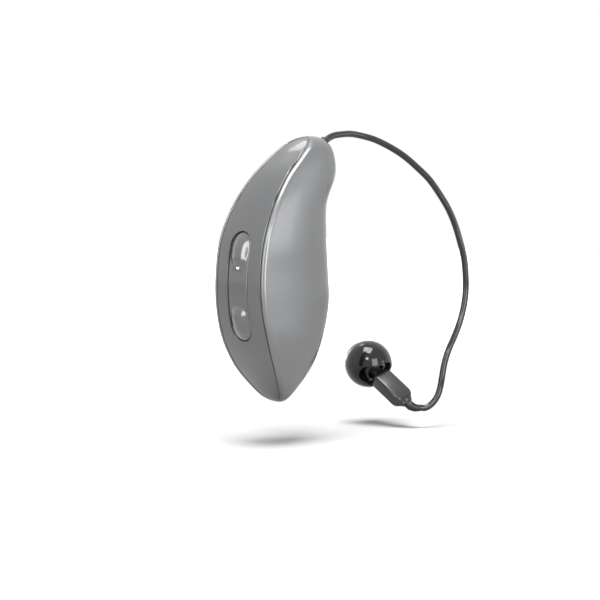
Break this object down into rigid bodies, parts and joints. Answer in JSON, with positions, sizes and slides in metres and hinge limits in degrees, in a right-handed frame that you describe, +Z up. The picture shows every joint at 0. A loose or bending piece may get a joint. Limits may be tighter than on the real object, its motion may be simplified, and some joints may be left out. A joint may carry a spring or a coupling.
{
  "type": "hearing aid",
  "caption": "Behind-the-ear hearing aid with a rocker button on its spine, a thin wire to a small receiver, and a soft open dome for the ear canal.",
  "frame": {"origin": "on the concave front of the housing, at mid height, where it rests behind the ear", "axes": "+X forwards to the wearer's face, +Y towards the wearer's head, +Z up; right ear"},
  "size_m": [0.0347, 0.0118, 0.0346],
  "materials": {
    "cover_grey": "metallic grey lacquer, satin gloss",
    "shell_silver": "metallic silver lacquer, satin gloss",
    "button_grey": "metallic grey lacquer, glossy",
    "clear_lens": "clear light pipe with a white diffusing face",
    "steel": "fine drawn steel",
    "contact_steel": "nickel plated",
    "cell_steel": "nickel plated can",
    "gold": "gold plated",
    "copper": "copper",
    "board_green": "solder resist",
    "chip_black": "moulded, matt",
    "black_plastic": "moulded, matt",
    "graphite_plastic": "moulded, glossy graphite",
    "white_plastic": "moulded, satin",
    "black_rubber": "soft, matt",
    "wire_black": "smooth glossy jacket",
    "screen_grey": "woven mesh",
    "marker_red": "moulded, satin",
    "smoke_silicone": "translucent smoke silicone, glossy"
  },
  "bodies": {
    "housing": {"spine_cover": "cover_grey", "outer_shell": "shell_silver", "inner_shell": "shell_silver", "button_seal": "black_rubber", "rocker_pin": "steel", "button_frame": "black_plastic", "pin_seals": "black_rubber", "upper_switch": "contact_steel", "lower_switch": "contact_steel", "circuit_board": "board_green", "signal_processor": "chip_black", "radio_chip": "chip_black", "indicator_led": "white_plastic", "chassis": "black_plastic", "battery_cell": "cell_steel", "battery_tabs": "contact_steel", "contact_block": "black_plastic", "charging_contacts": "gold", "front_microphone": "contact_steel", "rear_microphone": "contact_steel", "microphone_screens": "screen_grey", "antenna_strip": "copper", "telecoil": "copper", "housing_pins": "steel", "side_marker": "marker_red", "cable_plug": "black_plastic", "socket_contacts": "gold", "retaining_pin": "steel", "receiver_wire": "wire_black", "wire_boot": "black_rubber", "receiver_case": "graphite_plastic", "receiver_motor": "contact_steel", "sound_spout": "graphite_plastic", "wax_guard": "white_plastic"},
    "rocker": {"rocker_button": "button_grey", "indicator_lens": "clear_lens"},
    "upper_pin": {"upper_push_pin": "white_plastic"},
    "lower_pin": {"lower_push_pin": "white_plastic"},
    "dome": {"ear_dome": "smoke_silicone"}
  },
  "joints": [
    {"name": "rocker_tilt", "type": "hinge", "parent": "housing", "child": "rocker", "pos_m": [-0.01252, 0, -0.0015], "axis": [0, 1, 0], "range_deg": [-3, 3], "stiffness_Nm_per_rad": 0.02},
    {"name": "upper_pin_push", "type": "slide", "parent": "housing", "child": "upper_pin", "axis": [1, 0, 0], "range_m": [-0.00024, 0.00024]},
    {"name": "lower_pin_push", "type": "slide", "parent": "housing", "child": "lower_pin", "axis": [1, 0, 0], "range_m": [-0.00024, 0.00024]},
    {"name": "dome_pull_off", "type": "slide", "parent": "housing", "child": "dome", "axis": [-0.1405, 0.7967, 0.5878], "range_m": [0, 0.003]}
  ],
  "couplings": [
    {"joint": "upper_pin_push", "follows": "rocker_tilt", "m_per_rad": 0.00425},
    {"joint": "lower_pin_push", "follows": "rocker_tilt", "m_per_rad": -0.00425}
  ]
}
